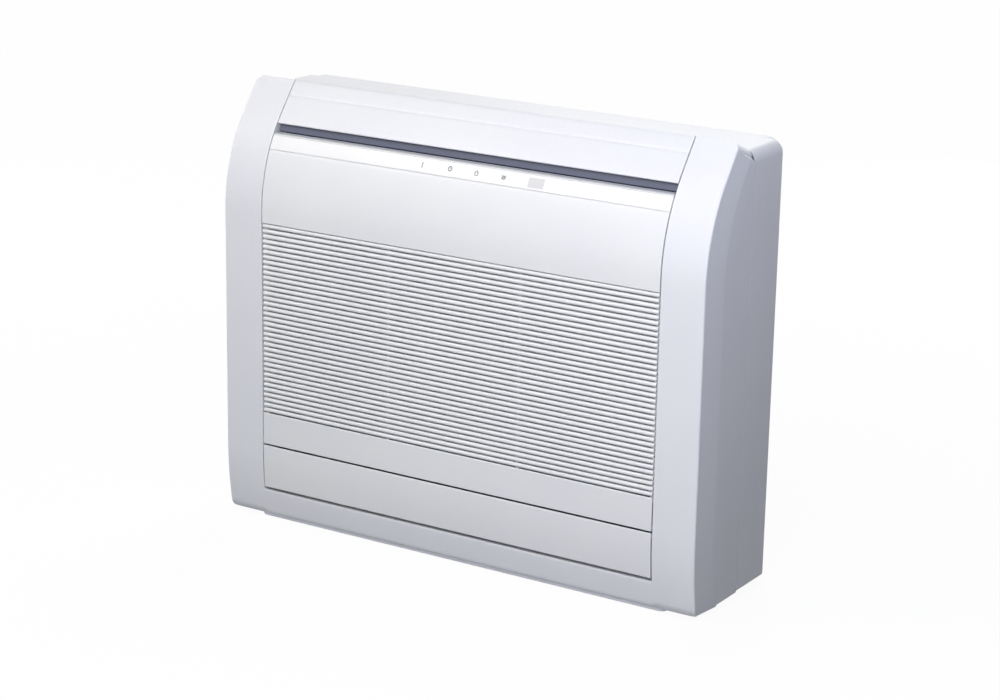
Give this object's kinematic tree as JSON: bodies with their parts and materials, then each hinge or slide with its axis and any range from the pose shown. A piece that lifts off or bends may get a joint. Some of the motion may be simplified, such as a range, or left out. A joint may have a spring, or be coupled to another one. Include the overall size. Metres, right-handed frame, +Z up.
{
  "type": "floor standing air conditioner",
  "caption": "Low white floor console air conditioner with a slatted intake grille, glossy display strip, upper and lower air flaps, cross-flow fans, coil and vanes.",
  "frame": {"origin": "floor level, middle of the unit in width and depth", "axes": "+X to the right seen from the front, -Y towards the room (front), +Y to the wall, +Z up"},
  "size_m": [0.74, 0.2, 0.6],
  "materials": {
    "casing_white": "fine satin moulded white",
    "panel_white": "fine satin moulded white",
    "gloss_white": "gloss",
    "window_grey": "gloss translucent grey",
    "grey_plastic": "matte grey",
    "slate_plastic": "matte dark slate",
    "aluminium": "bare fins",
    "copper": "bare copper",
    "brass": "machined",
    "steel": "zinc plated",
    "rubber": "matte black",
    "filter_grey": "matte grey net",
    "board_green": "lacquered board"
  },
  "bodies": {
    "body": {"front_casing": "casing_white", "rear_chassis": "casing_white", "base_foot": "casing_white", "left_side_plate": "grey_plastic", "right_side_plate": "grey_plastic", "upper_air_guide": "slate_plastic", "centre_wall": "grey_plastic", "lower_air_guide": "slate_plastic", "upper_front_frame": "grey_plastic", "lower_front_frame": "grey_plastic", "upper_fan_motor": "steel", "lower_fan_motor": "steel", "upper_fan_bearing": "rubber", "lower_fan_bearing": "rubber", "upper_flap_motor": "steel", "coil_fins": "aluminium", "coil_end_left": "copper", "coil_end_right": "copper", "gas_pipe": "copper", "liquid_pipe": "copper", "gas_flare_nut": "brass", "liquid_flare_nut": "brass", "drain_pan": "slate_plastic", "drain_spout": "slate_plastic", "air_filter_left": "filter_grey", "air_filter_right": "filter_grey", "control_box": "grey_plastic", "control_box_cover": "steel", "circuit_board": "board_green", "terminal_block": "slate_plastic", "indicator_case": "grey_plastic"},
    "upper_flap": {"upper_flap": "casing_white"},
    "lower_flap": {"lower_flap": "casing_white"},
    "intake_grille": {"intake_grille": "panel_white", "display_strip": "gloss_white", "receiver_window": "window_grey"},
    "upper_fan": {"upper_fan": "slate_plastic"},
    "lower_fan": {"lower_fan": "slate_plastic"},
    "push_button": {"push_button": "panel_white"},
    "outlet_switch": {"outlet_switch": "panel_white"},
    "vane_tie_bar": {"vane_tie_bar": "slate_plastic"},
    "vane_1": {"vane_1": "slate_plastic"},
    "vane_2": {"vane_2": "slate_plastic"},
    "vane_3": {"vane_3": "slate_plastic"},
    "vane_4": {"vane_4": "slate_plastic"},
    "vane_5": {"vane_5": "slate_plastic"},
    "vane_6": {"vane_6": "slate_plastic"},
    "vane_7": {"vane_7": "slate_plastic"},
    "vane_8": {"vane_8": "slate_plastic"}
  },
  "joints": [
    {"name": "upper_flap_hinge", "type": "hinge", "parent": "body", "child": "upper_flap", "pos_m": [0, -0.024, 0.588], "axis": [-1, 0, 0], "range_deg": [0, 70]},
    {"name": "lower_flap_hinge", "type": "hinge", "parent": "body", "child": "lower_flap", "pos_m": [0, -0.0955, 0.1023], "axis": [-1, 0, 0], "range_deg": [0, 45]},
    {"name": "grille_hinge", "type": "hinge", "parent": "body", "child": "intake_grille", "pos_m": [0, -0.0955, 0.1139], "axis": [1, 0, 0], "range_deg": [0, 35]},
    {"name": "upper_fan_spin", "type": "hinge", "parent": "body", "child": "upper_fan", "pos_m": [0, 0.028, 0.452], "axis": [1, 0, 0], "continuous": true},
    {"name": "lower_fan_spin", "type": "hinge", "parent": "body", "child": "lower_fan", "pos_m": [0, 0.028, 0.178], "axis": [1, 0, 0], "continuous": true},
    {"name": "tie_bar_slide", "type": "slide", "parent": "body", "child": "vane_tie_bar", "axis": [1, 0, 0], "range_m": [-0.0051, 0.0051]},
    {"name": "vane_1_swing", "type": "hinge", "parent": "body", "child": "vane_1", "pos_m": [-0.238, -0.03718, 0.50787], "axis": [0, 0.6671, 0.7449], "range_deg": [-25.2, 25.2]},
    {"name": "vane_2_swing", "type": "hinge", "parent": "body", "child": "vane_2", "pos_m": [-0.17, -0.03718, 0.50787], "axis": [0, 0.6671, 0.7449], "range_deg": [-25.2, 25.2]},
    {"name": "vane_3_swing", "type": "hinge", "parent": "body", "child": "vane_3", "pos_m": [-0.102, -0.03718, 0.50787], "axis": [0, 0.6671, 0.7449], "range_deg": [-25.2, 25.2]},
    {"name": "vane_4_swing", "type": "hinge", "parent": "body", "child": "vane_4", "pos_m": [-0.034, -0.03718, 0.50787], "axis": [0, 0.6671, 0.7449], "range_deg": [-25.2, 25.2]},
    {"name": "vane_5_swing", "type": "hinge", "parent": "body", "child": "vane_5", "pos_m": [0.034, -0.03718, 0.50787], "axis": [0, 0.6671, 0.7449], "range_deg": [-25.2, 25.2]},
    {"name": "vane_6_swing", "type": "hinge", "parent": "body", "child": "vane_6", "pos_m": [0.102, -0.03718, 0.50787], "axis": [0, 0.6671, 0.7449], "range_deg": [-25.2, 25.2]},
    {"name": "vane_7_swing", "type": "hinge", "parent": "body", "child": "vane_7", "pos_m": [0.17, -0.03718, 0.50787], "axis": [0, 0.6671, 0.7449], "range_deg": [-25.2, 25.2]},
    {"name": "vane_8_swing", "type": "hinge", "parent": "body", "child": "vane_8", "pos_m": [0.238, -0.03718, 0.50787], "axis": [0, 0.6671, 0.7449], "range_deg": [-25.2, 25.2]},
    {"name": "push_button_press", "type": "slide", "parent": "body", "child": "push_button", "axis": [0, 0.9735, -0.2286], "range_m": [0, 0.0012], "stiffness_N_per_m": 300, "springref_m": -0.0005},
    {"name": "outlet_switch_slide", "type": "slide", "parent": "body", "child": "outlet_switch", "axis": [-1, 0, 0], "range_m": [0, 0.006]}
  ],
  "couplings": [
    {"joint": "vane_1_swing", "follows": "tie_bar_slide", "rad_per_m": -85.47},
    {"joint": "vane_2_swing", "follows": "tie_bar_slide", "rad_per_m": -85.47},
    {"joint": "vane_3_swing", "follows": "tie_bar_slide", "rad_per_m": -85.47},
    {"joint": "vane_4_swing", "follows": "tie_bar_slide", "rad_per_m": -85.47},
    {"joint": "vane_5_swing", "follows": "tie_bar_slide", "rad_per_m": -85.47},
    {"joint": "vane_6_swing", "follows": "tie_bar_slide", "rad_per_m": -85.47},
    {"joint": "vane_7_swing", "follows": "tie_bar_slide", "rad_per_m": -85.47},
    {"joint": "vane_8_swing", "follows": "tie_bar_slide", "rad_per_m": -85.47}
  ]
}
